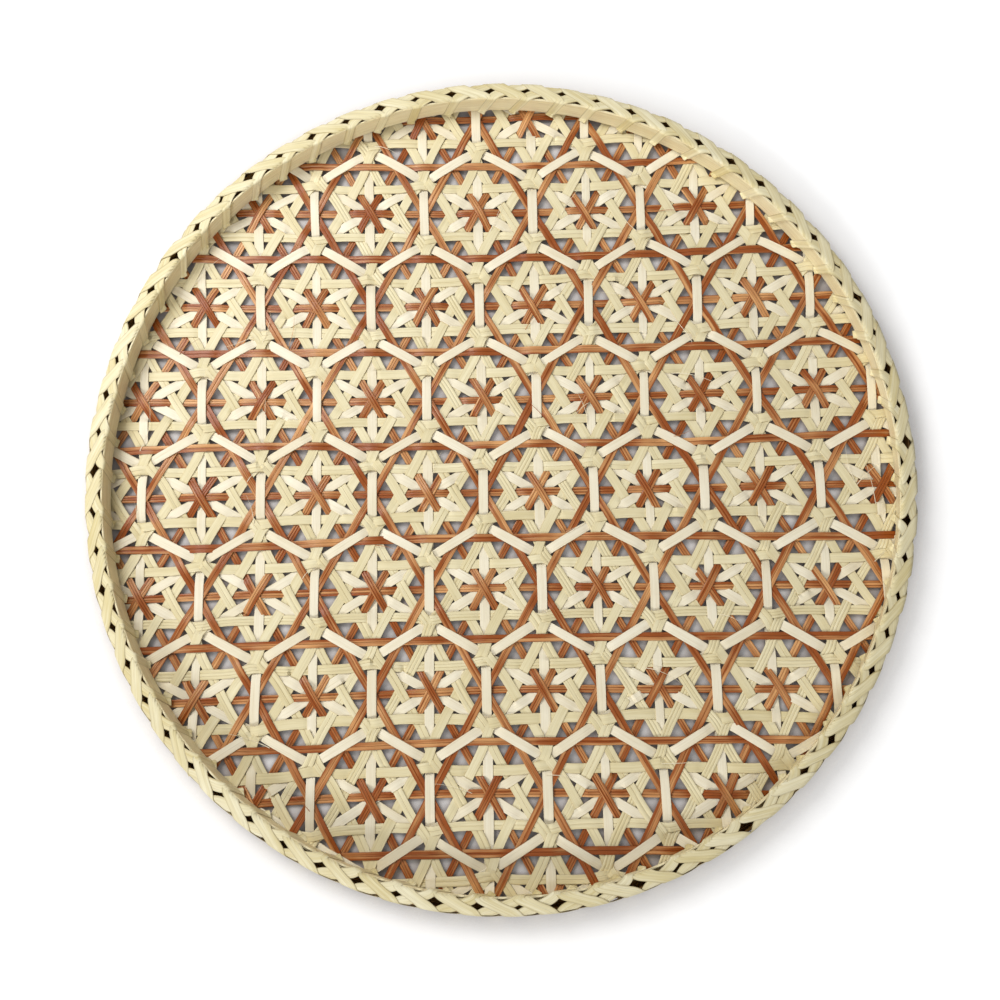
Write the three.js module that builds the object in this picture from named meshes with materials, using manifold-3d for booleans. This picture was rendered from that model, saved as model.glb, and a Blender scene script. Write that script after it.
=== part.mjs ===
// Shallow round bamboo tray: an open star-pattern weave held in a double-hoop rim, which is
// bound all round with three plaited lashing strips. Millimetres, +Z up, and the origin is
// at the centre of the underside.
import * as THREE from 'three';
import { mergeVertices } from 'three/addons/utils/BufferGeometryUtils.js';
import Module from 'manifold-3d';

const wasm = await Module();
wasm.setup();

// Tray
const trayWidth = 400; // outside, from left to right
const trayOvality = 1.012; // its depth from front to back, over its width
const rimWidth = 11; // from the inner face of the rim to its outside
const seatGap = 0.3; // between a lashing or a hoop and what it lies on

// Weave pattern
const starPitch = 53; // from one star's centre to the next, in the middle of the tray
const patternTurn = 1.2; // degrees, how far the rows of stars slope
const patternShift = new THREE.Vector2(17.8, -5.6); // from the tray's centre to a star's
const edgeSpread = 0.044; // share by which the weave is looser at the rim
const shortestStrip = 70; // a strip that would be shorter isn't laid

// Strips
const stripThickness = 0.35;
const stripGap = 0.05; // between strips that cross
const combWidth = 4.8; // natural strips through the stars' centres and along the honeycomb
const starWidth = 3.8; // natural strips that outline the stars
const centreWidth = 3.7; // brown strips that cross in the stars' centres
const ringWidth = 3.2; // brown strips that make a ring round each star
const sideRoom = 0.3; // beside a strip, where another one bends down or up past it
const bendStep = 100; // longest straight stretch of a natural star strip

// Rim
const innerHoopHeight = 11;
const innerHoopThickness = 1.8;
const outerHoopHeight = 7; // at its outside
const hoopSpace = 0.6; // between the two hoops
const stripEndCover = 1.5; // how far inside the outer hoop's outer face the strips end
const hoopSteps = 72;

// Lashing
const lashThickness = 0.45;
const lashWidth = 4.6; // where it hangs down the inner hoop
const lashSlantWidth = 7.6; // where it crosses the top of the rim, measured along the rim
const lashStrips = 3;
const lashTurns = 22; // times that each strip goes over the rim and back
const lashLean = 1.3; // degrees that a turn leans as it goes down the inner hoop
const lashFoot = 1.1; // height of the lowest fold outside, and of the folds over the weave
const lashShoulder = 0.34; // share of its slant that a strip has made at the outer shoulder

// Colours
const naturalStrip = 0xe9dfb8;
const starNatural = 0xe2d7a6;
const brownStrip = 0xa8562c;
const hoopTan = 0xcdb98a;
const lashTan = 0xdccf9c;

// Fineness of what is worked out
const joinTolerance = 0.001; // how far off a straight edge a leftover corner may lie
const spanTolerance = 0.01; // of the place where a strip ends
const headingReach = 0.5; // on both sides of a point, to tell which way a strip heads there

const degree = Math.PI / 180;

// The strips run in three directions. Levels of the weave, from its underside up: strips of
// one kind lie flat on one level where they are joined at their crossings, and on a level
// for each direction where they aren't.
const directions = ['a', 'b', 'c'];
const directionTurn = 60 * degree;
const levelStep = stripThickness + stripGap;
const combLevel = 0;
const centreLevel = combLevel + directions.length * levelStep;
const starLevel = centreLevel + levelStep;
const ringLevel = starLevel + directions.length * levelStep;
const bridgeLevel = ringLevel + levelStep;
const weaveTop = bridgeLevel + stripThickness;

// The pattern is ruled by lines in three directions, four to a row of stars. Counted from a
// star's centre, every odd line is a natural star strip. Of the even ones, every other is a
// brown centre strip and the rest are brown ring strips.
const starRow = starPitch * Math.sin(directionTurn);
const rulesPerRow = 4;
const rule = starRow / rulesPerRow;

// Radii and heights of the rim, from the outside in
const outerRadius = trayWidth / 2;
const overLashRadius = outerRadius - lashThickness / 2;
const lashStep = lashThickness + seatGap / 2;
const underLashRadius = overLashRadius - lashStep;
const outerHoopOuter = underLashRadius - lashThickness / 2 - seatGap;
const innerHoopInner = outerRadius - rimWidth;
const innerHoopOuter = innerHoopInner + innerHoopThickness;
const outerHoopInner = innerHoopOuter + hoopSpace;
const innerHoopFoot = weaveTop + seatGap;
const innerHoopTop = innerHoopFoot + innerHoopHeight;
const rimSlope = (innerHoopTop - outerHoopHeight) / (outerHoopOuter - innerHoopInner);
const stripEndRadius = outerHoopOuter - stripEndCover;

const materials = {
  comb: finish(naturalStrip, 0.55),
  star: finish(starNatural, 0.6),
  brown: finish(brownStrip, 0.45),
  hoop: finish(hoopTan, 0.55),
  lash: finish(lashTan, 0.6),
};

function finish(color, roughness) {
  return new THREE.MeshStandardMaterial({ color, roughness, metalness: 0 });
}

// Join a row of four-cornered sections into one closed body. Each section is given from
// behind, counter-clockwise. A looped row closes on its first section and needs no ends.
function loft(sections, looped = false) {
  const corners = 4;
  const positions = sections.flat().flatMap((corner) => corner.toArray());
  const faces = [];
  const spans = looped ? sections.length : sections.length - 1;
  for (let i = 0; i < spans; i += 1) {
    const here = i * corners;
    const next = ((i + 1) % sections.length) * corners;
    for (let a = 0; a < corners; a += 1) {
      const b = (a + 1) % corners;
      faces.push(here + a, next + a, next + b);
      faces.push(here + a, next + b, here + b);
    }
  }
  if (!looped) {
    const last = (sections.length - 1) * corners;
    faces.push(0, 1, 2, 0, 2, 3);
    faces.push(last, last + 2, last + 1, last, last + 3, last + 2);
  }
  const geometry = new THREE.BufferGeometry();
  geometry.setAttribute('position', new THREE.Float32BufferAttribute(positions, 3));
  geometry.setIndex(faces);
  geometry.computeVertexNormals();
  return geometry;
}

function toSolid(geometry) {
  const bare = geometry.clone();
  bare.deleteAttribute('normal');
  const merged = mergeVertices(bare);
  return new wasm.Manifold(new wasm.Mesh({
    numProp: 3,
    vertProperties: new Float32Array(merged.attributes.position.array),
    triVerts: new Uint32Array(merged.index.array),
  }));
}

// One body out of strips that cross on the same level
function fuse(geometries) {
  const joined = geometries.map(toSolid).reduce((whole, piece) => whole.add(piece));
  const mesh = joined.asOriginal().simplify(joinTolerance).getMesh();
  const geometry = new THREE.BufferGeometry();
  geometry.setAttribute('position', new THREE.BufferAttribute(mesh.vertProperties, 3));
  geometry.setIndex(new THREE.BufferAttribute(mesh.triVerts, 1));
  geometry.computeVertexNormals();
  return geometry;
}

// Where the weaver's hand has put a point of the even pattern: turned and shifted as a
// whole, looser towards the rim, and drawn out with the oval of the hoops
function layPoint(point) {
  const laid = point.clone().rotateAround(new THREE.Vector2(), patternTurn * degree);
  laid.add(patternShift);
  const share = laid.length() / outerRadius;
  laid.multiplyScalar(1 + edgeSpread * share * share);
  laid.y *= trayOvality;
  return laid;
}

// Distance from the tray's centre as the oval hoops measure it
function hoopRadius(point) {
  return Math.hypot(point.x, point.y / trayOvality);
}

// A strip's centre line: a straight line of the even pattern, as it is laid. Its middle is
// the place along it that lies nearest the tray's centre.
function stripLine(angle, offset) {
  const along = new THREE.Vector2(Math.cos(angle), Math.sin(angle));
  const across = new THREE.Vector2(-along.y, along.x);
  const start = across.clone().multiplyScalar(offset);
  const shift = patternShift.clone().rotateAround(new THREE.Vector2(), -patternTurn * degree);
  const at = (t) => layPoint(start.clone().addScaledVector(along, t));
  const side = (t) => {
    const heading = at(t + headingReach).sub(at(t - headingReach)).normalize();
    return new THREE.Vector2(-heading.y, heading.x);
  };
  return { at, side, middle: -shift.dot(along) };
}

// The stretch of a line, from end to end, on which a strip of this width lies inside the
// outer hoop. It is undefined where no strip would be laid.
function stripSpan(line, width) {
  const inside = (t) => {
    const half = line.side(t).multiplyScalar(width / 2);
    const edges = [line.at(t).add(half), line.at(t).sub(half)];
    return Math.max(...edges.map(hoopRadius)) <= stripEndRadius;
  };
  if (!inside(line.middle)) return undefined;
  const ends = [-1, 1].map((sign) => {
    let near = 0;
    let far = trayWidth;
    while (far - near > spanTolerance) {
      const middle = (near + far) / 2;
      if (inside(line.middle + sign * middle)) near = middle;
      else far = middle;
    }
    return line.middle + sign * near;
  });
  return ends[1] - ends[0] < shortestStrip ? undefined : ends;
}

// A strip's body, with a section at each station. A station is a place along the line and
// the height of the strip's underside there.
function ribbon(line, width, thickness, stations) {
  const sections = stations.map(([t, height]) => {
    const centre = line.at(t);
    const half = line.side(t).multiplyScalar(width / 2);
    const left = centre.clone().add(half);
    const right = centre.clone().sub(half);
    return [
      new THREE.Vector3(left.x, left.y, height),
      new THREE.Vector3(right.x, right.y, height),
      new THREE.Vector3(right.x, right.y, height + thickness),
      new THREE.Vector3(left.x, left.y, height + thickness),
    ];
  });
  return loft(sections);
}

// Strip lines in one direction: the first by its number of rules from a star's centre, and
// every so many rules from there
function ruledLines(direction, firstRule, everyRules) {
  const lines = [];
  const most = Math.ceil(trayWidth / rule / everyRules);
  for (let count = -most; count <= most; count += 1) {
    const offset = (firstRule + count * everyRules) * rule;
    lines.push({ count, line: stripLine(direction * directionTurn, offset) });
  }
  return lines;
}

// Brown strips of one kind all lie on one level and are joined where they cross. A strip
// bends only at its crossings, and one that has none inside the tray isn't laid.
function brownMat({ firstRule, width, level, crossing, crossingStep }) {
  const strips = [];
  for (const direction of directions.keys()) {
    for (const { line, count } of ruledLines(direction, firstRule, rulesPerRow)) {
      const span = stripSpan(line, width);
      const places = span ? placesBetween(span, crossing(count), crossingStep) : [];
      if (places.length > 0) {
        const stations = [span[0], ...places, span[1]].map((t) => [t, level]);
        strips.push(ribbon(line, width, stripThickness, stations));
      }
    }
  }
  return fuse(strips);
}

// Places at even steps along a line that aren't too near the ends of a span
function placesBetween([start, end], first, step) {
  const margin = ringWidth + centreWidth;
  const places = [];
  let place = first + Math.ceil((start + margin - first) / step) * step;
  while (place < end - margin) {
    places.push(place);
    place += step;
  }
  return places;
}

// Natural star strips: three directions, each on its own level. Two strips of the first
// direction are three strips deep and two of the second are two deep. They pass halfway out
// from the centre, where all the others cross them and are joined to them.
function starMat() {
  const levels = [1, 0, 2];
  const deepStrips = [
    { direction: 0, depth: 3 },
    { direction: 1, depth: 2 },
  ];
  const strips = levels.map((level, direction) => {
    const laid = ruledLines(direction, 1, 2).map(({ line }) => {
      return { line, span: stripSpan(line, starWidth), level, depth: 1 };
    });
    return laid.filter((strip) => strip.span);
  });
  for (const { direction, depth } of deepStrips) {
    for (const place of [-outerRadius / 2, outerRadius / 2]) {
      const deep = nearestStrip(strips[direction], place);
      deep.level = 0;
      deep.depth = depth;
    }
  }
  return fuse(strips.flat().map(({ line, span, level, depth }) => {
    const height = starLevel + level * levelStep;
    return ribbon(line, starWidth, depth * levelStep - stripGap, flatStations(span, height));
  }));
}

function nearestStrip(strips, place) {
  const distance = (strip) => Math.abs(middleOffset(strip.line) - place);
  return strips.reduce((best, strip) => (distance(strip) < distance(best) ? strip : best));
}

// How far from the tray's centre a line passes, with its side as the sign
function middleOffset(line) {
  return line.at(line.middle).dot(line.side(line.middle));
}

function flatStations([start, end], height) {
  const steps = Math.ceil((end - start) / bendStep);
  const stations = [];
  for (let i = 0; i <= steps; i += 1) {
    stations.push([THREE.MathUtils.lerp(start, end, i / steps), height]);
  }
  return stations;
}

// Natural comb strips pass under everything in a star, and bridge the three brown strips
// that cross halfway between two stars
function combStations([start, end], firstBridge, lowLevel) {
  const crossingTurn = directionTurn / 2;
  const crossed = (ringWidth + combWidth * Math.cos(crossingTurn)) / Math.sin(crossingTurn);
  const halfTop = crossed / 2 + sideRoom;
  const halfFoot = rule - starWidth / 2 - sideRoom;
  const bridge = [
    [-halfFoot, lowLevel],
    [-halfTop, bridgeLevel],
    [halfTop, bridgeLevel],
    [halfFoot, lowLevel],
  ];
  const bridgeStep = 2 * starRow;
  const most = Math.ceil(trayWidth / bridgeStep);
  const all = [];
  for (let i = -most; i <= most; i += 1) {
    const middle = firstBridge + i * bridgeStep;
    for (const [shift, height] of bridge) all.push([middle + shift, height]);
  }
  const heightAt = (t) => {
    const after = all.findIndex(([place]) => place > t);
    const [from, low] = all[after - 1];
    const [to, high] = all[after];
    return THREE.MathUtils.lerp(low, high, (t - from) / (to - from));
  };
  const between = all.filter(([t]) => t > start + sideRoom && t < end - sideRoom);
  return [[start, heightAt(start)], ...between, [end, heightAt(end)]];
}

// Comb strips run square to the star strips, half a pitch apart. Every other one has its
// bridges where its neighbours cross a star. They are numbered from the middle out.
function addCombStrips(group) {
  const most = Math.ceil(trayWidth / starPitch) * 2;
  for (const [direction, letter] of directions.entries()) {
    const angle = 90 * degree + direction * directionTurn;
    const lowLevel = combLevel + direction * levelStep;
    const strips = [];
    for (let i = -most; i <= most; i += 1) {
      const line = stripLine(angle, i * starPitch / 2);
      const span = stripSpan(line, combWidth);
      const firstBridge = i % 2 === 0 ? starRow : 0;
      const fromMiddle = Math.abs(middleOffset(line));
      if (span) strips.push({ line, span, firstBridge, fromMiddle });
    }
    strips.sort((one, other) => one.fromMiddle - other.fromMiddle);
    for (const [i, { line, span, firstBridge }] of strips.entries()) {
      const stations = combStations(span, firstBridge, lowLevel);
      const name = `comb_strip_${letter}_${String(i + 1).padStart(2, '0')}`;
      const geometry = ribbon(line, combWidth, stripThickness, stations);
      addMesh(group, name, geometry, materials.comb);
    }
  }
}

// A ring of the rim, turned from its section and drawn out to the oval
function hoop(section) {
  const profile = [...section, section[0]].map(([radius, height]) => {
    return new THREE.Vector2(radius, height);
  });
  const geometry = new THREE.LatheGeometry(profile, hoopSteps);
  geometry.rotateX(90 * degree);
  geometry.scale(1, trayOvality, 1);
  return geometry;
}

function innerHoop() {
  return hoop([
    [innerHoopInner, innerHoopFoot],
    [innerHoopOuter, innerHoopFoot],
    [innerHoopOuter, innerHoopTop - innerHoopThickness * rimSlope],
    [innerHoopInner, innerHoopTop],
  ]);
}

// The outer hoop lies on the ends of the weave and follows the slope of the rim
function outerHoop() {
  return hoop([
    [outerHoopInner, innerHoopFoot],
    [outerHoopOuter, innerHoopFoot],
    [outerHoopOuter, outerHoopHeight],
    [outerHoopInner, innerHoopTop - rimSlope * (outerHoopInner - innerHoopInner)],
  ]);
}

// One lashing strip. It climbs the outside of the rim, slants over it to the inner hoop,
// goes down that to the weave, folds back on itself, and slants out over the next turns.
// A place is a radius and a height, the way that the strip's first face looks there, and
// how far round the rim the strip has come.
function lashing(number) {
  const turn = 2 * Math.PI / lashTurns;
  const start = number * turn / lashStrips;
  const under = seatGap + lashThickness / 2;
  const over = under + lashStep;
  const lean = lashLean * degree;
  const reach = turn / 2 - lean;
  const diagonal = Math.SQRT1_2;
  const innerTop = (distance) => [innerHoopInner - distance, innerHoopTop + distance];
  const shoulder = (distance) => [outerHoopOuter + distance, outerHoopHeight + distance];
  const places = [
    { at: [outerHoopOuter + (under + over) / 2, lashFoot], face: [0, 1], turned: 0 },
    { at: shoulder(under), face: [diagonal, diagonal], turned: lashShoulder * reach },
    { at: innerTop(under), face: [-diagonal, diagonal], turned: reach },
    {
      at: [innerHoopInner - (under + over) / 2, weaveTop + lashFoot],
      face: [0, 1],
      turned: turn / 2,
      width: lashWidth,
    },
    { at: innerTop(over), face: [diagonal, -diagonal], turned: reach + lean / 2 },
    { at: shoulder(over), face: [-diagonal, -diagonal], turned: turn - lashShoulder * reach },
  ];
  const sections = [];
  for (let i = 0; i < lashTurns; i += 1) {
    for (const { at, face, turned, width = lashSlantWidth } of places) {
      sections.push(lashSection(at, face, start + i * turn + turned, width));
    }
  }
  return loft(sections, true);
}

function lashSection([radius, height], [faceOut, faceUp], angle, width) {
  const half = lashThickness / 2;
  const halfAngle = width / 2 / radius;
  const point = (side, sign) => {
    const around = angle + sign * halfAngle;
    const distance = radius + side * half * faceOut;
    return new THREE.Vector3(
      distance * Math.cos(around),
      distance * Math.sin(around) * trayOvality,
      height + side * half * faceUp,
    );
  };
  return [point(-1, -1), point(-1, 1), point(1, 1), point(1, -1)];
}

function addMesh(group, name, geometry, material) {
  const mesh = new THREE.Mesh(geometry, material.clone());
  mesh.name = name;
  group.add(mesh);
}

const group = new THREE.Group();

addCombStrips(group);
addMesh(group, 'star_strips_natural', starMat(), materials.star);
addMesh(group, 'star_strips_brown_centre', brownMat({
  firstRule: 0,
  width: centreWidth,
  level: centreLevel,
  crossing: (count) => (count % 2 === 0 ? 0 : starPitch / 2),
  crossingStep: starPitch,
}), materials.brown);
addMesh(group, 'star_strips_brown_ring', brownMat({
  firstRule: 2,
  width: ringWidth,
  level: ringLevel,
  crossing: () => starPitch / 4,
  crossingStep: starPitch / 2,
}), materials.brown);
addMesh(group, 'inner_hoop', innerHoop(), materials.hoop);
addMesh(group, 'outer_hoop', outerHoop(), materials.hoop);
for (let number = 0; number < lashStrips; number += 1) {
  addMesh(group, `rim_lashing_${number + 1}`, lashing(number), materials.lash);
}

export default group;
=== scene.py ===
import math

import bpy
import numpy as np
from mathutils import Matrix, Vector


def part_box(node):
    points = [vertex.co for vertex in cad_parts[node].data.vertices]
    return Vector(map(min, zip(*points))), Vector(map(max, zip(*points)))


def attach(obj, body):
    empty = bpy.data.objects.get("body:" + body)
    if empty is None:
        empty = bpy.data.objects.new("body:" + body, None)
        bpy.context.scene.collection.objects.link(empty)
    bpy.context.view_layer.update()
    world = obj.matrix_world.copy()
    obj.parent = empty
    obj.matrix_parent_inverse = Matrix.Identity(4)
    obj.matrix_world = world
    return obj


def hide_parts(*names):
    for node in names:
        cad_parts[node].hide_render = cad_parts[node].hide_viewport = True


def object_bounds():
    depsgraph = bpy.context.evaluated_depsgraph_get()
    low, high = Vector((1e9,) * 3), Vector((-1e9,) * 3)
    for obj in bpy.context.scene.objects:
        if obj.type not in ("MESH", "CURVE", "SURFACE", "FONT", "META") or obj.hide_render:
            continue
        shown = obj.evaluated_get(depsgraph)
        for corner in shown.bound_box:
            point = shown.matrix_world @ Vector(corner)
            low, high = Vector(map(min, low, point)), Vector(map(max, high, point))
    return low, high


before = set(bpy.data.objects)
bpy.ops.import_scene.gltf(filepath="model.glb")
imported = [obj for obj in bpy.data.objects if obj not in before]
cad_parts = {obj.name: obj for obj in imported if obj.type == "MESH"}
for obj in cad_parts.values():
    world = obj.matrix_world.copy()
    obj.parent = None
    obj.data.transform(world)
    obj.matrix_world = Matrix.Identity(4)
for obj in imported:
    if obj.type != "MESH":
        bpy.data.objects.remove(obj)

# Lengths are in millimetres until a mesh is made
MM = 0.001
DEGREE = math.pi / 180
CAD_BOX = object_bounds()
RANDOM = np.random.default_rng(11)

# The tray, from the CAD model
OUTER_RADIUS = (CAD_BOX[1].x - CAD_BOX[0].x) / 2 / MM
OVALITY = (CAD_BOX[1].y - CAD_BOX[0].y) / (CAD_BOX[1].x - CAD_BOX[0].x)
HOOP_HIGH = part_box("inner_hoop")[1]
HOOP_OUTER = HOOP_HIGH.x / MM
HOOP_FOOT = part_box("inner_hoop")[0].z / MM
HOOP_TOP = HOOP_HIGH.z / MM
HOOP_THICKNESS = 2.8
HOOP_INNER = HOOP_OUTER - HOOP_THICKNESS
RIM_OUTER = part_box("outer_hoop")[1].x / MM
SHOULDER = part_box("outer_hoop")[1].z / MM

# How far the wall leans in over its foot, round which side, and how broadly it keeps to that
LEAN = 2.6
LEAN_SIDE = -50 * DEGREE
LEAN_BREADTH = 1.3

# The pattern, as in the CAD model
STAR_PITCH = 53.0
PATTERN_TURN = 1.2 * DEGREE
PATTERN_SHIFT = np.array([17.8, -5.6])
EDGE_SPREAD = 0.044
SHORTEST_STRIP = 70.0
STRIP_END_RADIUS = RIM_OUTER - 1.5
RULE = STAR_PITCH * math.sqrt(3) / 8
DIRECTIONS = "abc"

# Strips: the first line of a kind and the step to the next, counted in rules. Comb strips lie
# half a star pitch apart instead.
KINDS = {
    "comb": {"width": 4.5, "first": 0, "every": 0, "slot": "natural_strip"},
    "star": {"width": 4.6, "first": 1, "every": 2, "slot": "star_strip"},
    "centre": {"width": 3.65, "first": 0, "every": 4, "slot": "brown_strip"},
    "ring": {"width": 3.75, "first": 2, "every": 4, "slot": "brown_strip"},
}
CAD_MATS = {
    "star": "star_strips_natural",
    "centre": "star_strips_brown_centre",
    "ring": "star_strips_brown_ring",
}

# A strip's thickness, the height from it to a strip that lies on it, and its bevelled edges
THICKNESS = 0.36
LAYER = 0.47
BEVEL = 0.08

# How far star strips lie off their lines, how much more at a knot, and over what length
STAR_SHIFT = 0.3
KNOT_PULL = 1.8
KNOT_REACH = 7.5

# The small faults of work by hand, and how fast bows and widths waver along a strip
COMB_FAULT = 0.3
OTHER_FAULT = 0.45
MOST_FAULT = 0.9
WIDTH_FAULT = 0.035
WIDTH_WAVE = 14
BOW = 0.3
BOW_WAVES = (4, 9)

# The shares of star strips with one, two and three splints. A splint's tone takes this share of
# its strip's tone and about this much of its own.
SPLINT_SHARES = [0.4, 0.38, 0.22]
STRIP_TONE_SHARE = 0.6
OWN_TONE = 0.2

# Loose fibres, and the height that they rise to
PALE_FIBRES = 34
BROWN_FIBRES = 9
FIBRE_LEVEL = 3.85

# In most stars the brown strips lie in one order, which is drawn once for each star
USUAL_ORDER_SHARE = 0.68
STAR_ORDERS = {}

# The most lines on each side of the middle that are tried, and the length between samples
MOST_LINES = 16
SAMPLE_STEP = 1.4


def lay(points):
    """Where the weaver's hand has put points of the even pattern"""
    c, s = math.cos(PATTERN_TURN), math.sin(PATTERN_TURN)
    x = points[..., 0] * c - points[..., 1] * s + PATTERN_SHIFT[0]
    y = points[..., 0] * s + points[..., 1] * c + PATTERN_SHIFT[1]
    spread = 1 + EDGE_SPREAD * (x * x + y * y) / OUTER_RADIUS**2
    return np.stack([x * spread, y * spread * OVALITY], axis=-1)


class Strip:
    """One strip of the weave: a straight line of the even pattern, with samples along it"""

    def __init__(self, kind, direction, count):
        self.kind, self.direction, self.count = kind, direction, count
        angle = (60 * direction + (90 if kind == "comb" else 0)) * DEGREE
        self.along = np.array([math.cos(angle), math.sin(angle)])
        self.across = np.array([-self.along[1], self.along[0]])
        self.rules = KINDS[kind]["first"] + count * KINDS[kind]["every"]
        self.offset = count * STAR_PITCH / 2 if kind == "comb" else self.rules * RULE
        self.width = KINDS[kind]["width"]
        c, s = math.cos(PATTERN_TURN), math.sin(PATTERN_TURN)
        shift = np.array([
            PATTERN_SHIFT[0] * c + PATTERN_SHIFT[1] * s,
            PATTERN_SHIFT[1] * c - PATTERN_SHIFT[0] * s,
        ])
        self.middle = -shift @ self.along

    def bend(self, t):
        """How far a star strip is drawn in to the knots, where comb strips meet beside it"""
        if self.kind != "star":
            return np.zeros_like(t)
        row = round(self.rules / 4)
        side = 1 if self.rules > 4 * row else -1
        past_knot = (t - STAR_PITCH / 2 * row) % STAR_PITCH - STAR_PITCH / 2
        return side * (STAR_SHIFT + KNOT_PULL * np.exp(-((past_knot / KNOT_REACH) ** 2)))

    def line(self, t, shift=0.0):
        t = np.asarray(t, float)[..., None]
        return self.across * (self.offset + shift) + self.along * t

    def find_span(self):
        """The part of the line that ends under the hoops"""
        step = 0.1
        t = self.middle + np.arange(-OUTER_RADIUS, OUTER_RADIUS, step)
        edges = lay(np.stack([self.line(t, self.width / 2), self.line(t, -self.width / 2)]))
        radius = np.hypot(edges[..., 0], edges[..., 1] / OVALITY).max(axis=0)
        held = t[radius <= STRIP_END_RADIUS]
        if len(held) == 0 or held[-1] - held[0] < SHORTEST_STRIP:
            return False
        self.span = (held[0], held[-1])
        return True

    def middle_offset(self):
        """How far the line passes from the tray's middle"""
        here = lay(self.line(self.middle))
        heading = lay(self.line(self.middle + 0.5)) - lay(self.line(self.middle - 0.5))
        heading /= np.linalg.norm(heading)
        return abs(here @ np.array([-heading[1], heading[0]]))


def make_strips():
    """All the strips that the tray holds, numbered from the middle out in each direction, with
    the small faults of work by hand"""
    strips = []
    counts = range(-MOST_LINES, MOST_LINES + 1)
    for kind in KINDS:
        for direction in range(3):
            laid = [Strip(kind, direction, count) for count in counts]
            laid = [strip for strip in laid if strip.find_span()]
            laid.sort(key=Strip.middle_offset)
            for number, strip in enumerate(laid, 1):
                strip.name = f"{kind}_strip_{DIRECTIONS[direction]}_{number:02d}"
            strips += laid
    for strip in strips:
        fault = COMB_FAULT if strip.kind == "comb" else OTHER_FAULT
        strip.offset += np.clip(RANDOM.normal(0, fault), -MOST_FAULT, MOST_FAULT)
        strip.width *= 1 + np.clip(RANDOM.normal(0, WIDTH_FAULT), -2 * WIDTH_FAULT, 2 * WIDTH_FAULT)
        strip.tone = RANDOM.random()
        strip.seed = RANDOM.random() * 100
        strip.bow = RANDOM.normal(0, BOW, 2)
        strip.wave = RANDOM.random(3) * 6
        if strip.kind == "comb":
            strip.splints = 1
        elif strip.kind == "star":
            strip.splints = RANDOM.choice([1, 2, 3], p=SPLINT_SHARES)
        else:
            strip.splints = 3 if strip.kind == "centre" else 2
        length = strip.span[1] - strip.span[0]
        strip.t = np.linspace(*strip.span, int(length / SAMPLE_STEP) + 2)
    return strips


def star_order(crossing):
    """How high each of the three brown strips lies in the star at a crossing"""
    place = (round(crossing[1] / RULE / 4), round(crossing[0] / STAR_PITCH * 2))
    if place not in STAR_ORDERS:
        STAR_ORDERS[place] = [0, 1, 2] if RANDOM.random() < USUAL_ORDER_SHARE else [0, 2, 1]
    return STAR_ORDERS[place]


def lies_over(one, other, t_one, crossing):
    """Whether one strip passes over the other where they cross. Along a comb strip the stars are
    eight rules apart."""
    kinds = (one.kind, other.kind)
    if kinds == ("comb", "comb"):
        return one.direction > other.direction
    if one.kind == "comb":
        if one.direction != other.direction:
            return other.kind == "ring"
        phase = 0 if one.count % 2 == 0 else 4
        from_star = abs((t_one / RULE - phase + 4) % 8 - 4)
        if other.kind == "star":
            return from_star < 2
        return other.kind == "centre" and from_star > 2
    if kinds == ("centre", "centre"):
        order = star_order(crossing)
        return order[one.direction] > order[other.direction]
    if kinds in (("star", "star"), ("ring", "ring")):
        cyclic = (other.direction - one.direction) % 3 == 1
        if one.kind == "ring":
            return cyclic
        first, second = sorted((one, other), key=lambda strip: strip.direction)
        if (first.direction, second.direction) == (0, 2):
            third = first.rules + second.rules
        elif (first.direction, second.direction) == (0, 1):
            third = second.rules - first.rules
        else:
            third = first.rules - second.rules
        return cyclic if third % 4 == 2 else not cyclic
    order = ["centre", "star", "ring"]
    return order.index(one.kind) > order.index(other.kind)


def meet(one, other, slant, back, facing, share_one, share_other):
    """The places along two strips where points across one lie on points across the other. They
    are found in rounds, because a strip's bend depends on the place."""
    rounds = 6
    a = np.full_like(share_one, (other.offset - one.offset * facing) / slant)
    b = np.full_like(share_one, (one.offset - other.offset * facing) / back)
    for turn in range(rounds):
        side_one = one.offset + one.bend(a) + share_one * one.width
        side_other = other.offset + other.bend(b) + share_other * other.width
        a = (side_other - side_one * facing) / slant
        b = (side_one - side_other * facing) / back
    return a, b


def contacts(strips):
    """Points where one strip lies on another. Each point gives a strip, a place along it and a
    share of its width, first for the upper strip and then for the lower one."""
    near_edge, parallel = 0.46, 0.1
    across = np.linspace(-near_edge, near_edge, 5)
    share_one, share_other = [grid.ravel() for grid in np.meshgrid(across, across)]
    upper, lower = [], []
    for i, one in enumerate(strips):
        for j in range(i + 1, len(strips)):
            other = strips[j]
            slant = one.along @ other.across
            if abs(slant) < parallel:
                continue
            back = other.along @ one.across
            facing = one.across @ other.across
            t_one = (other.offset - one.offset * facing) / slant
            a, b = meet(one, other, slant, back, facing, share_one, share_other)
            kept = (a > one.span[0]) & (a < one.span[1]) & (b > other.span[0]) & (b < other.span[1])
            if not kept.any():
                continue
            places = (i, a[kept], share_one[kept]), (j, b[kept], share_other[kept])
            crossing = one.across * one.offset + one.along * t_one
            if not lies_over(one, other, t_one, crossing):
                places = places[::-1]
            upper.append(places[0])
            lower.append(places[1])
    return upper, lower


def rail_weights(strips, starts, places):
    """The four samples of a strip's edges round each place, and the share of each"""
    indices, weights = [], []
    for i, t, share in places:
        strip = strips[i]
        place = (t - strip.t[0]) / (strip.t[1] - strip.t[0])
        place = np.clip(place, 0, len(strip.t) - 1.001)
        low = place.astype(int)
        part = place - low
        right = 0.5 - share
        first = 2 * (starts[i] + low)
        indices.append(np.stack([first, first + 1, first + 2, first + 3]))
        weights.append(np.stack([
            (1 - part) * (1 - right), (1 - part) * right, part * (1 - right), part * right,
        ]))
    return np.concatenate(indices, axis=1), np.concatenate(weights, axis=1)


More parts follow.
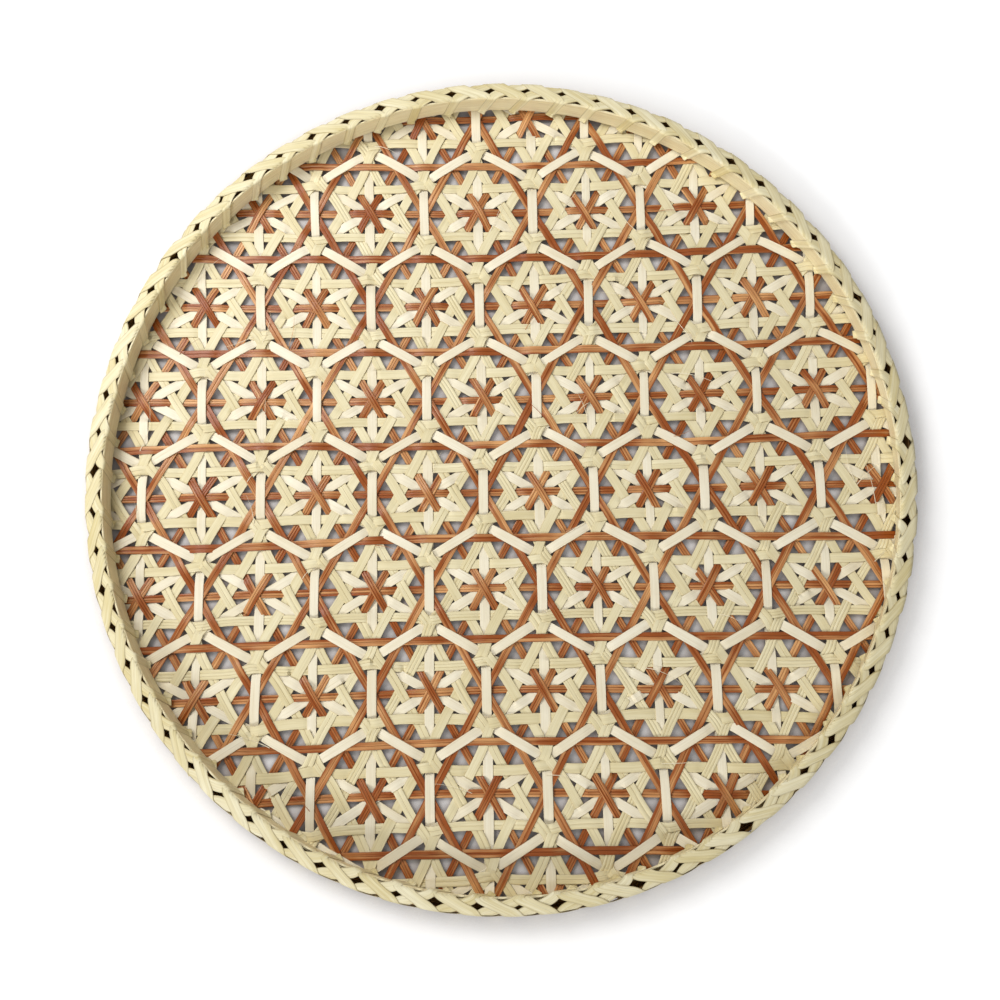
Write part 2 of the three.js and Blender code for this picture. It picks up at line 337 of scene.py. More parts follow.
def settle(strips):
    """Works out the heights of the strips' two edges, as taut strips that lie on each other. In
    each round they are pulled straight and untwisted a little, and then pushed apart where they
    overlap. Late rounds pull less and push more often."""
    starts = np.concatenate([[0], np.cumsum([len(strip.t) for strip in strips])])
    total = starts[-1]
    before = np.arange(total) - 1
    after = np.arange(total) + 1
    before[starts[:-1]] = starts[:-1] + 1
    after[starts[1:] - 1] = starts[1:] - 2
    upper, lower = contacts(strips)
    up_index, up_weight = rail_weights(strips, starts, upper)
    low_index, low_weight = rail_weights(strips, starts, lower)
    square = (up_weight**2).sum(axis=0) + (low_weight**2).sum(axis=0)
    height = np.zeros(2 * total)

    def overlap():
        gap = (height[up_index] * up_weight).sum(axis=0)
        return LAYER - gap + (height[low_index] * low_weight).sum(axis=0)

    rounds = 420
    early_share, early_pull, late_pull, untwist = 0.8, 0.4, 0.12, 0.03
    early_pushes, late_pushes, push_gain, least_count = 2, 3, 1.3, 0.6
    for turn in range(rounds):
        late = turn > rounds * early_share
        rails = height.reshape(total, 2)
        level = (rails[before] + rails[after]) / 2
        rails = rails + (late_pull if late else early_pull) * (level - rails)
        rails = rails - untwist * (rails - rails.mean(axis=1, keepdims=True))
        height = rails.reshape(-1)
        for push in range(late_pushes if late else early_pushes):
            miss = np.maximum(overlap(), 0) / square
            moved = np.zeros(2 * total)
            counted = np.full(2 * total, 1e-9)
            for index, weight, sign in ((up_index, up_weight, 1), (low_index, low_weight, -1)):
                for k in range(4):
                    active = weight[k] * (miss > 0)
                    moved += np.bincount(index[k], sign * miss * weight[k] * active, 2 * total)
                    counted += np.bincount(index[k], active, 2 * total)
            height += push_gain * moved / np.maximum(counted, least_count)
    height -= height.min()
    rails = height.reshape(total, 2)
    for i, strip in enumerate(strips):
        strip.rails = rails[starts[i]:starts[i + 1]]


def strip_section(width, splints, crown, groove):
    """A strip's cross-section: for each corner the place across, the height, how far it lies in
    a groove or at an edge, and the splint that it belongs to"""
    half = width / 2
    # The third value of each corner darkens the strip's colour in grooves and at edges: painted
    # shade
    corners = [
        (-half + BEVEL, 0.0, 1.0, 0), (half - BEVEL, 0.0, 1.0, splints - 1),
        (half, BEVEL, 1.0, splints - 1),
    ]
    part = width / splints
    inset, rounded = 0.04, 0.2
    for i in reversed(range(splints)):
        left = -half + i * part
        low_right = THICKNESS - (BEVEL if i == splints - 1 else groove)
        low_left = THICKNESS - (BEVEL if i == 0 else groove)
        corners += [
            (left + part - inset, low_right, 1.0, i),
            (left + part - rounded, THICKNESS + crown * 0.5, 0.25, i),
            (left + 0.5 * part, THICKNESS + crown, 0.0, i),
            (left + rounded, THICKNESS + crown * 0.5, 0.25, i),
            (left + inset, low_left, 1.0, i),
        ]
    corners.append((-half, BEVEL, 1.0, 0))
    return np.array(corners)


def flat_section(width, thickness):
    """A cross-section with two alike faces, for strips that are bent over the rim"""
    # The edge value darkens the colour towards the strip's sides: painted shade
    places, bulge, edge_shade, edge_power = 7, 0.05, 0.95, 6
    half, deep = width / 2 - BEVEL, thickness / 2
    face = np.linspace(-1, 1, places)
    crown = deep + bulge * (1 - face**2)
    edge = edge_shade * np.abs(face) ** edge_power
    under = np.column_stack([face * half, -crown, edge])
    over = np.column_stack([face * half, crown, edge])[::-1]
    sides = np.array([[half + BEVEL, 0.0, 1.0], [-half - BEVEL, 0.0, 1.0]])
    corners = np.vstack([under, sides[:1], over, sides[1:]])
    return np.column_stack([corners, np.zeros(len(corners))])


def quads(count, corners, looped):
    """The side faces of a body that is made of rows of corners"""
    rows = np.arange(count if looped else count - 1)
    i, k = np.meshgrid(rows, np.arange(corners), indexing="ij")
    after, beside = (i + 1) % count, (k + 1) % corners
    return np.stack([
        i * corners + k, i * corners + beside, after * corners + beside, after * corners + k,
    ], axis=-1).reshape(-1, 4)


def body(points, shape, along, across, seed, tones):
    """A body from rows of corners. Its attributes give the place on the strip in millimetres,
    so that the grain follows it, how near its edge that is, and the tone of the splint."""
    count, corners = points.shape[:2]
    sides = quads(count, corners, False)
    spots = points.reshape(-1, 3)
    first, second, third, fourth = (spots[sides[:, k]] - spots[0] for k in range(4))
    turned = (first * np.cross(second, third) + first * np.cross(third, fourth)).sum() < 0
    faces = sides.tolist()
    faces.append(list(range(corners))[::-1])
    faces.append([(count - 1) * corners + corner for corner in range(corners)])
    if turned:
        faces = [face[::-1] for face in faces]
    grain = np.stack([
        np.broadcast_to(along[:, None], (count, corners)),
        np.broadcast_to(across, (count, corners)), np.full((count, corners), seed),
    ], axis=-1)
    tone = np.asarray(tones)[shape[:, 3].astype(int)]
    return {
        "points": spots,
        "faces": faces,
        "grain": grain.reshape(-1, 3),
        "edge": np.broadcast_to(shape[:, 2], (count, corners)).ravel(),
        "tone": np.broadcast_to(tone, (count, corners)).ravel(),
    }


def sweep(centres, sides, ups, shape, along, seed, tones, widths):
    """A body along a row of centres, from one cross-section and its width at each centre"""
    across = shape[:, 0] * widths[:, None]
    place = across[:, :, None] * sides[:, None, :]
    lift = shape[:, 1][None, :, None] * ups[:, None, :]
    return body(centres[:, None, :] + place + lift, shape, along, across, seed, tones)


def make_object(name, parts, material, replaced=()):
    """One piece of the scene from one or more bodies"""
    sharp_from = 32 * DEGREE
    faces, start = [], 0
    for part in parts:
        faces += [[corner + start for corner in face] for face in part["faces"]]
        start += len(part["points"])
    mesh = bpy.data.meshes.new(name)
    mesh.from_pydata(np.concatenate([part["points"] for part in parts]) * MM, [], faces)
    for key, form, field in (
        ("grain", "FLOAT_VECTOR", "vector"), ("edge", "FLOAT", "value"), ("tone", "FLOAT", "value"),
    ):
        values = np.concatenate([part[key] for part in parts]).astype(np.float32).ravel()
        mesh.attributes.new(key, form, "POINT").data.foreach_set(field, values)
    mesh.polygons.foreach_set("use_smooth", [True] * len(mesh.polygons))
    mesh.set_sharp_from_angle(angle=sharp_from)
    mesh.materials.append(material)
    piece = bpy.data.objects.new(name, mesh)
    bpy.context.scene.collection.objects.link(piece)
    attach(piece, "root")
    if replaced:
        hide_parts(*replaced)


def unit(vectors):
    return vectors / np.linalg.norm(vectors, axis=1, keepdims=True)


def weave(strips, materials):
    """Makes the strips from their lines, bends and heights"""
    for strip in strips:
        part = (strip.t - strip.middle) / OUTER_RADIUS
        shift = strip.bend(strip.t)
        for bow, wave, start in zip(strip.bow, BOW_WAVES, strip.wave):
            shift += bow * np.sin(wave * part + start)
        edges = []
        for rail, side in enumerate((0.5, -0.5)):
            offset = strip.offset + shift + side * strip.width
            line = strip.across * offset[:, None] + strip.along * strip.t[:, None]
            edges.append(np.column_stack([lay(line), strip.rails[:, rail]]))
        centres = (edges[0] + edges[1]) / 2
        sides = unit(edges[0] - edges[1])
        ups = unit(np.cross(np.gradient(centres, axis=0), sides))
        brown = strip.kind in ("centre", "ring")
        crown, groove, tone_spread = (0.09, 0.12, 0.35) if brown else (0.06, 0.08, 0.2)
        shape = strip_section(strip.width, strip.splints, crown, groove)
        tones = strip.tone * STRIP_TONE_SHARE
        tones = tones + RANDOM.normal(OWN_TONE, tone_spread, strip.splints)
        widths = 1 + WIDTH_FAULT * np.sin(WIDTH_WAVE * part + strip.wave[2])
        swept = sweep(centres, sides, ups, shape, strip.t, strip.seed, tones, widths)
        node = strip.name if strip.kind == "comb" else CAD_MATS[strip.kind]
        make_object("woven_" + strip.name, [swept], materials[strip.kind], [node])


# The hoops' eased edges, how much their edges waver upward, and which share of that sideways
EASE = 0.25
HOOP_WOBBLE = 0.1
WOBBLE_SIDEWAYS = 0.3
RING_STEPS = 400

# The inner hoop is thick at its foot and thin at its upper edge
FOOT_HEIGHT = 3.0
EDGE_HEIGHT = 2.0
EDGE_THICKNESS = 1.1

# Splints of the outer hoop: how far out each starts and ends, and how far its top is below the
# inner hoop's, so that together they fill the room under the lashing
SPLINTS = [(0.1, 1.9, 6.8), (2.0, 3.7, 7.0), (3.8, 5.0, 3.1), (5.1, 5.9, 6.1), (6.0, 6.9, 9.8)]


def leant(radius, height, angle):
    """The radius of a place in the rim, which leans in over its foot on the near right side"""
    side = np.clip(LEAN_BREADTH * np.cos(angle - LEAN_SIDE), 0, 1)
    low = np.clip((HOOP_TOP - height) / (HOOP_TOP - HOOP_FOOT), 0, 1)
    inner = np.clip((RIM_OUTER - radius) / (RIM_OUTER - HOOP_OUTER), 0, 1)
    return radius + LEAN * side * low * inner


def ring(profile, seed):
    """A ring of the rim from its cross-section, drawn out to the oval. A profile's corner is a
    radius, a height and how much of the wobble it takes."""
    steps, waves = RING_STEPS, range(2, 12)
    angles = np.arange(steps) / steps * 2 * math.pi
    wave = sum(
        RANDOM.normal(0, HOOP_WOBBLE / n) * np.sin(n * angles + RANDOM.random() * 6) for n in waves
    )
    profile = np.array(profile)[::-1]
    corners = len(profile)
    radius = profile[:, 0][None, :] + WOBBLE_SIDEWAYS * wave[:, None]
    height = profile[:, 1][None, :] + wave[:, None] * profile[:, 2][None, :]
    radius = leant(radius, height, angles[:, None])
    points = np.stack([
        radius * np.cos(angles)[:, None], radius * np.sin(angles)[:, None] * OVALITY, height,
    ], axis=-1).reshape(-1, 3)
    steps_across = np.hypot(*(profile[:, :2] - np.roll(profile[:, :2], 1, axis=0)).T)
    grain = np.stack([
        np.broadcast_to((angles * OUTER_RADIUS)[:, None], (steps, corners)),
        np.broadcast_to(np.cumsum(steps_across), (steps, corners)),
        np.full((steps, corners), seed),
    ], axis=-1)
    return {
        "points": points,
        "faces": quads(steps, corners, True).tolist(),
        "grain": grain.reshape(-1, 3),
        "edge": np.zeros(steps * corners),
        "tone": np.full(steps * corners, RANDOM.random()),
    }


def splint_profile(inner, outer, top):
    """The cross-section of a splint, with eased edges and a top that slopes outward"""
    slope = 0.6
    return [
        (inner + EASE, HOOP_FOOT, 0), (outer - EASE, HOOP_FOOT, 0), (outer, HOOP_FOOT + EASE, 0),
        (outer, top - slope - EASE, 1), (outer - EASE, top - slope, 1),
        (inner + EASE, top, 1), (inner, top - EASE, 1), (inner, (top + HOOP_FOOT) / 2, 0.4),
        (inner, HOOP_FOOT + EASE, 0),
    ]


def hoops(material, painted_shade_material):
    """The inner hoop, and the outer one as a bundle of splints that follows the rim's slope. The
    outer hoop takes a darker bamboo, which is painted shade for the slits under the lashing.
    """
    inner = [
        (HOOP_INNER + EASE, HOOP_FOOT, 0), (HOOP_OUTER, HOOP_FOOT, 0),
        (HOOP_OUTER, HOOP_FOOT + FOOT_HEIGHT, 0),
        (HOOP_INNER + EDGE_THICKNESS, HOOP_TOP - EDGE_HEIGHT, 1),
        (HOOP_INNER + 0.9, HOOP_TOP - 0.1, 1), (HOOP_INNER + 0.2, HOOP_TOP, 1),
        (HOOP_INNER, HOOP_TOP - EASE, 1), (HOOP_INNER, (HOOP_TOP + HOOP_FOOT) / 2, 0.4),
        (HOOP_INNER, HOOP_FOOT + EASE, 0),
    ]
    inner_seed, first_splint_seed = 3.0, 9.0
    make_object("hoop_inner", [ring(inner, inner_seed)], material, ["inner_hoop"])
    bundle = []
    for number, (start, end, drop) in enumerate(SPLINTS):
        profile = splint_profile(HOOP_OUTER + start, HOOP_OUTER + end, HOOP_TOP - drop)
        bundle.append(ring(profile, first_splint_seed + number))
    make_object("hoop_outer", bundle, painted_shade_material, ["outer_hoop"])


# The lashing, with the distances from the rim at which its under and over turns lie
LASH_STRIPS = 3
LASH_TURNS = 22
LASH_PITCH = 2 * math.pi / (LASH_STRIPS * LASH_TURNS)
LASH_WIDTH = 5.05
LASH_THICKNESS = 0.36
LASH_UNDER = 0.2
LASH_OVER = 0.64
RIM_MIDDLE = 194.5

# A turn's course along the rim: from the crest to the shoulder, on to the fold at its foot, and
# from there back up to the shoulder
LASH_REACH = 14.5
SHOULDER_TO_FOLD = 11.2
FOLD_TO_SHOULDER = 10.7

# How long the cross-section is inside the crest, where turns come up and where they go down
COMES_UP = 4.0
GOES_DOWN = 15.6

# Places on the rim, as shares of the way from the shoulder to the crest and of the reach
HIGH_ON_RIM, HIGH_REACH = 0.72, 0.28
LOW_ON_RIM, LOW_REACH = 0.35, 0.66

# Places on the outside, as shares of the way from the shoulder to the foot and lengths from the
# fold, and how far the fold stays above the foot
HIGH_OUTSIDE, HIGH_TO_FOLD = 0.35, 6.5
LOW_OUTSIDE, LOW_TO_FOLD = 0.75, 1.8
FOLD_ROOM = 0.3

# The tab that goes down over the inner hoop: how far on it starts, how far it slants, how much
# more on the near side, and its slope across
TAB_START = 2.2
TAB_SLANT = 4.0
NEAR_SLANT = 3.0
TAB_TILT = 0.2

# How far the turns stray from their even places
TURN_FAULT = 0.22 * DEGREE
COURSE_FAULT = 0.8
FOLD_FAULT = 0.6

# The rim's cross-section, as radius and height from inside to outside: first for the strips
# that come up between the hoops, then for those that go down over the inner hoop
RIM_TOP = [
    (RIM_OUTER - 2.9, SHOULDER + 1.0), (RIM_OUTER - 0.15, 2.0), (RIM_OUTER - 1.2, 1.1),
]
BETWEEN_HOOPS = [(HOOP_OUTER - 1.9, HOOP_TOP - 4.0), (HOOP_OUTER - 1.9, HOOP_TOP + 0.1)]
OVER_HOOP = [
    (HOOP_INNER - 2.6, HOOP_FOOT), (HOOP_INNER - 0.2, HOOP_FOOT + 0.2),
    (HOOP_INNER - 0.2, HOOP_TOP + 0.3), (HOOP_OUTER - 1.6, HOOP_TOP + 0.25),
]


def smooth_path(points):
    """A smooth row of points through the given ones"""
    steps = 8
    points = np.array(points, float)
    padded = np.vstack([2 * points[0] - points[1], points, 2 * points[-1] - points[-2]])
    out = []
    for a, b, c, d in zip(padded, padded[1:], padded[2:], padded[3:]):
        for t in np.arange(steps) / steps:
            out.append(0.5 * (2 * b + (c - a) * t + (2 * a - 5 * b + 4 * c - d) * t**2
                              + (3 * b - a - 3 * c + d) * t**3))
    out.append(points[-1])
    return np.array(out)


def rim_section(inner):
    """The line over the rim's cross-section with rounded corners, its length counted from the
    outer shoulder, and the direction out of the rim along it"""
    step, margin = 0.2, 3
    corners = np.array(inner + RIM_TOP)
    length = np.concatenate([[0], np.cumsum(np.hypot(*np.diff(corners, axis=0).T))])
    at = np.arange(0, length[-1], step)
    line = np.column_stack([np.interp(at, length, corners[:, k]) for k in (0, 1)])
    padded = np.pad(line, ((margin, margin), (0, 0)), mode="edge")
    window = 2 * margin + 1
    even = np.ones(window) / window
    line = np.column_stack([np.convolve(padded[:, k], even, "valid") for k in (0, 1)])
    slope = np.gradient(line, axis=0)
    out = unit(np.column_stack([-slope[:, 1], slope[:, 0]]))
    return at - length[len(inner)], line, out


def lash(section, places, distance, tilts, width):
    """A strip laid on the rim. A place is a length over the cross-section from the shoulder, one
    along the rim, and a share of the width. The tilts are lengths and the slopes across there."""
    length, line, out = section
    path = smooth_path(places)
    heading = unit(np.gradient(path[:, :2], axis=0))
    shape = flat_section(width, LASH_THICKNESS)
    across = shape[:, 0] * path[:, 2:]
    over = path[:, :1] - across * heading[:, 1:]
    around = (path[:, 1:2] + across * heading[:, :1]) / RIM_MIDDLE
    height = distance + shape[:, 1] + np.interp(path[:, :1], *tilts) * across
    spots = [np.interp(over, length, line[:, k]) for k in (0, 1)]
    normals = [np.interp(over, length, out[:, k]) for k in (0, 1)]
    level = spots[1] + normals[1] * height
    radius = leant(spots[0] + normals[0] * height, level, around)
    points = np.stack([
        radius * np.cos(around), radius * np.sin(around) * OVALITY, level,
    ], axis=-1)
    steps = np.linalg.norm(np.diff(path[:, :2], axis=0), axis=1)
    along = np.concatenate([[0], np.cumsum(steps)])
    return body(points, shape, along, across, RANDOM.random() * 100, [RANDOM.random()])


def lashing_wrap(angle, over_section, under_section):
    """One turn of the lashing. It comes up between the hoops and slants out over the rim, and
    from its foot it slants back in under the next turns and goes down over the inner hoop, with
    its end on the weave."""
    faults = np.clip(RANDOM.normal(0, 1, 10), -1.8, 1.8)
    reach_fault, fold_fault, width_fault, height_fault, tilt_fault = faults[:5]
    slant_fault, back_fault, end_fault, tab_fault = faults[5:9]
    width = LASH_WIDTH * (1 + 0.05 * width_fault)
    outside = over_section[0][-1]
    high, low, foot = outside * HIGH_OUTSIDE, outside * LOW_OUTSIDE, outside - FOLD_ROOM

    crest = over_section[0][0] + COMES_UP
    start = angle * RIM_MIDDLE
    reach = LASH_REACH + COURSE_FAULT * reach_fault
    shoulder = start + reach
    fold = shoulder + SHOULDER_TO_FOLD + FOLD_FAULT * fold_fault
    over = lash(over_section, [
        (crest - 3.0, start - 3.6, 0.9),
        (crest - 0.3, start - 0.9, 1.0),
        (crest * HIGH_ON_RIM, start + HIGH_REACH * reach, 1.03),
        (crest * LOW_ON_RIM, start + LOW_REACH * reach, 1.0),
        (0.0, shoulder, 1.0),
        (high, fold - HIGH_TO_FOLD, 1.0),
        (low, fold - LOW_TO_FOLD, 0.95),
        (foot, fold, 0.9),
    ], LASH_OVER + 0.07 * height_fault, ([0.0], [0.035 * tilt_fault]), width)

    near = 0.5 - 0.5 * math.sin(angle)
    slant = TAB_SLANT + COURSE_FAULT * slant_fault + NEAR_SLANT * near**3
    end = under_section[0][0]
    crest = end + GOES_DOWN
    reach = LASH_REACH + COURSE_FAULT * back_fault
    back = fold + FOLD_TO_SHOULDER + reach
    tab = back + TAB_START
    under = lash(under_section, [
        (foot, fold, 0.9),
        (low, fold + LOW_TO_FOLD, 0.95),
        (high, fold + HIGH_TO_FOLD, 1.0),
        (0.0, back - reach, 1.0),
        (crest * LOW_ON_RIM, back - LOW_REACH * reach, 1.0),
        (crest * HIGH_ON_RIM, back - HIGH_REACH * reach, 0.97),
        (crest - 0.6, back + 0.6, 0.92),
        (crest - 3.0, tab, 0.88),
        (crest - 8.0, tab + 0.5 * slant, 0.85),
        (crest - 13.0, tab + slant, 0.83),
        (end + 0.5 + 0.5 * abs(end_fault), tab + 1.2 * slant, 0.8),
    ], LASH_UNDER, ([crest - 3.5, crest - 0.5], [TAB_TILT + 0.05 * tab_fault, 0.03]), width)
    return [over, under]


def lashings(material):
    """The three lashing strips, whose turns follow each other round the rim"""
    over_section, under_section = rim_section(BETWEEN_HOOPS), rim_section(OVER_HOOP)
    for number in range(LASH_STRIPS):
        wraps = []
        for i in range(LASH_TURNS):
            angle = (i * LASH_STRIPS + number) * LASH_PITCH + RANDOM.normal(0, TURN_FAULT)
            wraps += lashing_wrap(angle, over_section, under_section)
        name = f"rim_lashing_{number + 1}"
        make_object("plaited_" + name, wraps, material, [name])


def loose_fibres(strips, count, kinds, material, name):
    """Fine fibres that have split off the strips and curl up from the weave"""
    fibres = []
    chosen = [strip for strip in strips if strip.kind in kinds]
    shortest, longest, from_end = 9, 26, 20
    least_bend, most_bend, least_lift, most_lift = 0.05, 0.4, 0.5, 1.6
    shape = np.array([
        (-0.18, 0, 0, 0), (0.0, -0.08, 0, 0), (0.18, 0, 0, 0), (0.0, 0.1, 0, 0),
    ])
    for i in range(count):
        strip = chosen[RANDOM.integers(len(chosen))]
        length = RANDOM.uniform(shortest, longest)
        place = RANDOM.uniform(strip.span[0] + from_end, strip.span[1] - from_end - length)
        side = RANDOM.choice([-1, 1])
        bend = RANDOM.uniform(least_bend, most_bend) * side
        lift = RANDOM.uniform(least_lift, most_lift)
        t = np.linspace(0, 1, 14)
        away = strip.width / 2 * side * 0.9 + bend * length * t**1.8
        line = strip.across * (strip.offset + away)[:, None]
        line = line + strip.along * (place + length * t * (1 - 0.1 * t))[:, None]
        base = np.interp(place, strip.t, strip.rails.mean(axis=1)) + THICKNESS
        height = base + (FIBRE_LEVEL - base) * np.minimum(4 * t, 1) + lift * t**2
        centres = np.column_stack([lay(line), height])
        ahead = unit(np.gradient(centres, axis=0))
        sides = unit(np.cross(ahead, [0.0, 0.0, 1.0]))
        ups = np.cross(sides, ahead)
        thin = 1 - 0.75 * t
        fibres.append(sweep(centres, -sides, ups, shape, length * t, i, [RANDOM.random()], thin))
    make_object(name, fibres, material)


def linear(colour):
    """A colour written as on a screen, as the linear light that shaders take"""
    parts = [int(colour[i:i + 2], 16) / 255 for i in (1, 3, 5)]
    return [*(p / 12.92 if p <= 0.04045 else ((p + 0.055) / 1.055) ** 2.4 for p in parts), 1.0]


class Nodes:
    """Makes and links the nodes of one material"""

    def __init__(self, tree):
        self.tree = tree

    def add(self, kind, **values):
        made = self.tree.nodes.new(kind)
        for key, value in values.items():
            setattr(made, key, value)
        return made

    def feed(self, node, **inputs):
        """Sets a node's sockets, named with underscores for spaces, or links them"""
        for key, value in inputs.items():
            socket = node.inputs[key.replace("_", " ")]
            if isinstance(value, bpy.types.NodeSocket):
                self.tree.links.new(value, socket)
            else:
                socket.default_value = value
        return node

    def noise(self, vector, scale, detail):
        mapping = self.feed(self.add("ShaderNodeMapping"), Vector=vector, Scale=scale)
        texture = self.feed(self.add("ShaderNodeTexNoise"), Vector=mapping.outputs["Vector"],
                            Scale=1.0, Detail=detail, Roughness=0.6)
        return texture.outputs["Fac"]

    def stretch(self, source, low, high, to_low=0.0, to_high=1.0):
        made = self.add("ShaderNodeMapRange")
        self.feed(made, Value=source, From_Min=low, From_Max=high, To_Min=to_low, To_Max=to_high)
        return made.outputs["Result"]

    def blend(self, share, one, other):
        made = self.add("ShaderNodeMixRGB")
        self.feed(made, Fac=share, Color1=one, Color2=other)
        return made.outputs["Color"]

    def combine(self, operation, one, other):
        made = self.add("ShaderNodeMath", operation=operation, use_clamp=True)
        for socket, value in zip(made.inputs, (one, other)):
            if isinstance(value, bpy.types.NodeSocket):
                self.tree.links.new(value, socket)
            else:
                socket.default_value = value
        return made.outputs["Value"]


def new_material(name):
    material = bpy.data.materials.new(name)
    material.use_nodes = True
    return material, Nodes(material.node_tree), material.node_tree.nodes["Principled BSDF"]


# How fast the noises of the grain change along a strip, across it and from strip to strip
BAND_SCALE = (0.015, 0.85, 1.0)
FIBRE_SCALE = (0.06, 4.2, 1.0)
DRIFT_SCALE = (0.035, 0.1, 1.0)
FIBRE_DEPTH = 0.08 * MM


def bamboo(name, pale, deep, dark, roughness, drift_share, band_share, fibre_share):
    """Split bamboo. Broad bands of tone and fine fibres run along the strip, with a slow drift
    of tone, and its edges and grooves are darkened with painted shade."""
    material, nodes, shader = new_material(name)
    grain = nodes.add("ShaderNodeAttribute", attribute_name="grain").outputs["Vector"]
    tone = nodes.add("ShaderNodeAttribute", attribute_name="tone").outputs["Fac"]
    edge = nodes.add("ShaderNodeAttribute", attribute_name="edge").outputs["Fac"]
    band = nodes.stretch(nodes.noise(grain, BAND_SCALE, 2.0), 0.36, 0.64)
    fibre = nodes.noise(grain, FIBRE_SCALE, 3.0)
    drift = nodes.stretch(nodes.noise(grain, DRIFT_SCALE, 2.0), 0.35, 0.65)
    tone_share, edge_share, edge_power, shine = 0.35, 0.48, 2.5, 0.32
    shade = nodes.combine("MULTIPLY", drift, drift_share)
    shade = nodes.combine("ADD", shade, nodes.combine("MULTIPLY", tone, tone_share))
    shade = nodes.combine("ADD", shade, nodes.combine("MULTIPLY", band, band_share))
    base = nodes.blend(shade, linear(pale), linear(deep))
    streak = nodes.combine("MULTIPLY", nodes.stretch(fibre, 0.52, 0.72), fibre_share)
    base = nodes.blend(streak, base, linear(dark))
    # Painted shade: the colour darkens towards the edges and in the grooves, by the edge attribute
    painted_edge_shade = nodes.combine("MULTIPLY", nodes.combine("POWER", edge, edge_power), edge_share)
    base = nodes.blend(painted_edge_shade, base, linear(dark))
    gloss = nodes.stretch(fibre, 0.3, 0.7, roughness - 0.08, roughness + 0.1)
    bump = nodes.feed(nodes.add("ShaderNodeBump"), Strength=0.7, Distance=FIBRE_DEPTH, Height=fibre)
    nodes.feed(shader, Base_Color=base, Roughness=gloss, Normal=bump.outputs["Normal"])
    shader.inputs["Specular IOR Level"].default_value = shine
    return material


def camera():
    """A little in front of the tray, looking down at it, as the photograph does"""
    distance, tilt = 490.0, 8.19 * DEGREE
    aim = np.array([-0.56, -10.12, 2.8])
    sensor, picture_pixels, focal_pixels = 36.0, 1000, 1016.3
    data = bpy.data.cameras.new("camera")
    data.sensor_width = sensor
    data.lens = sensor * focal_pixels / picture_pixels
    made = bpy.data.objects.new("camera", data)
    made.location = (aim + distance * np.array([0, -math.sin(tilt), math.cos(tilt)])) * MM
    made.rotation_euler = (tilt, 0, 0)
    bpy.context.scene.collection.objects.link(made)
    bpy.context.scene.camera = made


def softbox(name, place, size, power):
    """A square lamp that looks at the tray"""
    lamp = bpy.data.lights.new(name, "AREA")
    lamp.size = size
    lamp.energy = power
    made = bpy.data.objects.new(name, lamp)
    x, y, z = place
    made.location = place
    made.rotation_euler = (0, math.atan2(math.hypot(x, y), z), math.atan2(y, x))
    bpy.context.scene.collection.objects.link(made)


def studio():
    """Soft light from all round, a low lamp far in front and a near one behind on the left"""
    ambient, white = 0.27, 1.0
    scene = bpy.context.scene
    scene.view_settings.view_transform = "Standard"
    scene.world = bpy.data.worlds.new("studio")
    scene.world.use_nodes = True
    nodes = Nodes(scene.world.node_tree)
    paths = nodes.add("ShaderNodeLightPath").outputs
    seen = nodes.combine("MAXIMUM", paths["Is Camera Ray"], paths["Is Glossy Ray"])
    strength = nodes.stretch(seen, 0.0, 1.0, ambient, white)
    background = scene.world.node_tree.nodes["Background"]
    nodes.feed(background, Color=(1.0, 1.0, 1.0, 1.0), Strength=strength)
    softbox("front_left", place=(-0.9, -2.2, 1.35), size=0.7, power=33.0)
    softbox("back_left", place=(-0.4, 0.32, 0.6), size=0.35, power=4.0)


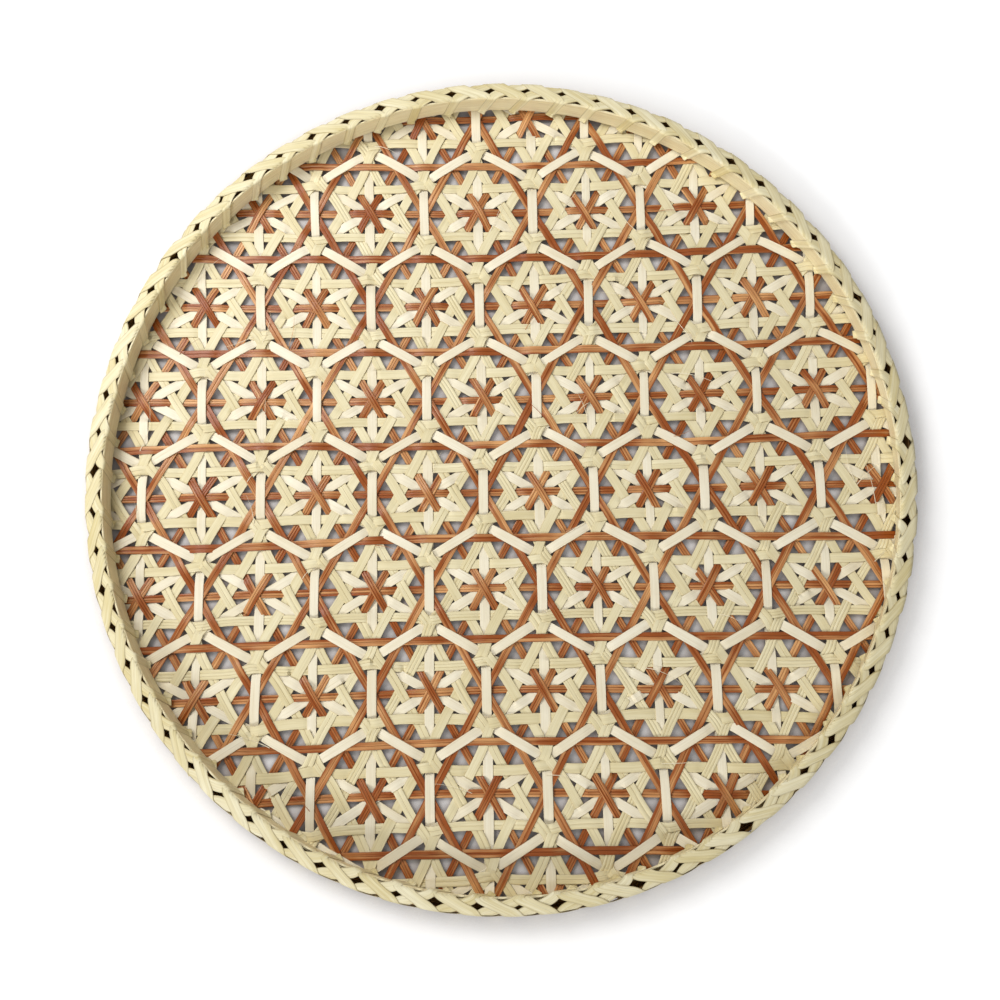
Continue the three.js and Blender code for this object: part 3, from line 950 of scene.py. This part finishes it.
def floor():
    """A floor that runs out into the white all round. Close under the weave its colour and its glow
    are darkened by ambient occlusion, as painted shade.
    """
    half, low = 4.0, -0.0003
    shade_reach, shade_power = 0.032, 1.6
    shaded, white = (0.36, 0.29, 0.25, 1.0), (0.86, 0.86, 0.86, 1.0)
    glow_near, white_from, white_all = 0.45, 0.3, 0.8
    mesh = bpy.data.meshes.new("floor")
    corners = [(-half, -half, low), (half, -half, low), (half, half, low), (-half, half, low)]
    mesh.from_pydata(corners, [], [(0, 1, 2, 3)])
    made = bpy.data.objects.new("floor", mesh)
    bpy.context.scene.collection.objects.link(made)
    material, nodes, shader = new_material("floor_white")
    # Painted shade: ambient occlusion darkens the floor's colour and its glow close under the weave
    close = nodes.add("ShaderNodeAmbientOcclusion", samples=8)
    close.inputs["Distance"].default_value = shade_reach
    open_air = nodes.combine("POWER", close.outputs["AO"], shade_power)
    base = nodes.blend(open_air, shaded, white)
    nodes.feed(shader, Base_Color=base, Roughness=0.9)
    shader.inputs["Specular IOR Level"].default_value = 0.0
    place = nodes.add("ShaderNodeNewGeometry").outputs["Position"]
    away = nodes.feed(nodes.add("ShaderNodeVectorMath", operation="LENGTH"), Vector=place)
    far = nodes.stretch(away.outputs["Value"], white_from, white_all)
    paths = nodes.add("ShaderNodeLightPath").outputs
    bright = nodes.combine("MAXIMUM", nodes.combine("MULTIPLY", open_air, glow_near), far)
    glow = nodes.combine("MULTIPLY", paths["Is Camera Ray"], bright)
    shader.inputs["Emission Color"].default_value = (1.0, 1.0, 1.0, 1.0)
    nodes.feed(shader, Emission_Strength=glow)
    mesh.materials.append(material)


camera()

# Each bamboo's pale, deep and dark colour, roughness, and shares of drift, bands and fibres
materials = {
    "comb": bamboo("comb_bamboo", "#fdf5de", "#ecdfbe", "#bfa878", 0.5, 0.35, 0.3, 0.3),
    "star": bamboo("star_bamboo", "#f7edc8", "#e0d1a1", "#a99262", 0.52, 0.4, 0.35, 0.35),
    "centre": bamboo("centre_bamboo", "#f0b87a", "#994e17", "#4f2206", 0.34, 0.65, 0.6, 0.4),
    "ring": bamboo("ring_bamboo", "#f0b87a", "#974c15", "#4f2206", 0.34, 0.65, 0.6, 0.4),
}
lash_bamboo = bamboo("lash_bamboo", "#fbf3d2", "#dfcf98", "#87703f", 0.48, 0.4, 0.45, 0.35)
hoop_bamboo = bamboo("hoop_bamboo", "#faf0cc", "#ecdaa8", "#a98f58", 0.5, 0.35, 0.45, 0.5)
# A darker copy of the hoop's bamboo for the outer hoop: painted shade for the slits under the
# lashing
painted_shade_bamboo = bamboo("painted_shade_bamboo", "#94713f", "#6e4e28", "#452f15", 0.6, 0.35, 0.4, 0.45)

strips = make_strips()
settle(strips)
weave(strips, materials)
hoops(hoop_bamboo, painted_shade_bamboo)
lashings(lash_bamboo)
loose_fibres(strips, PALE_FIBRES, ("comb", "star"), materials["comb"], "pale_fibres")
loose_fibres(strips, BROWN_FIBRES, ("centre", "ring"), materials["ring"], "brown_fibres")
floor()
studio()
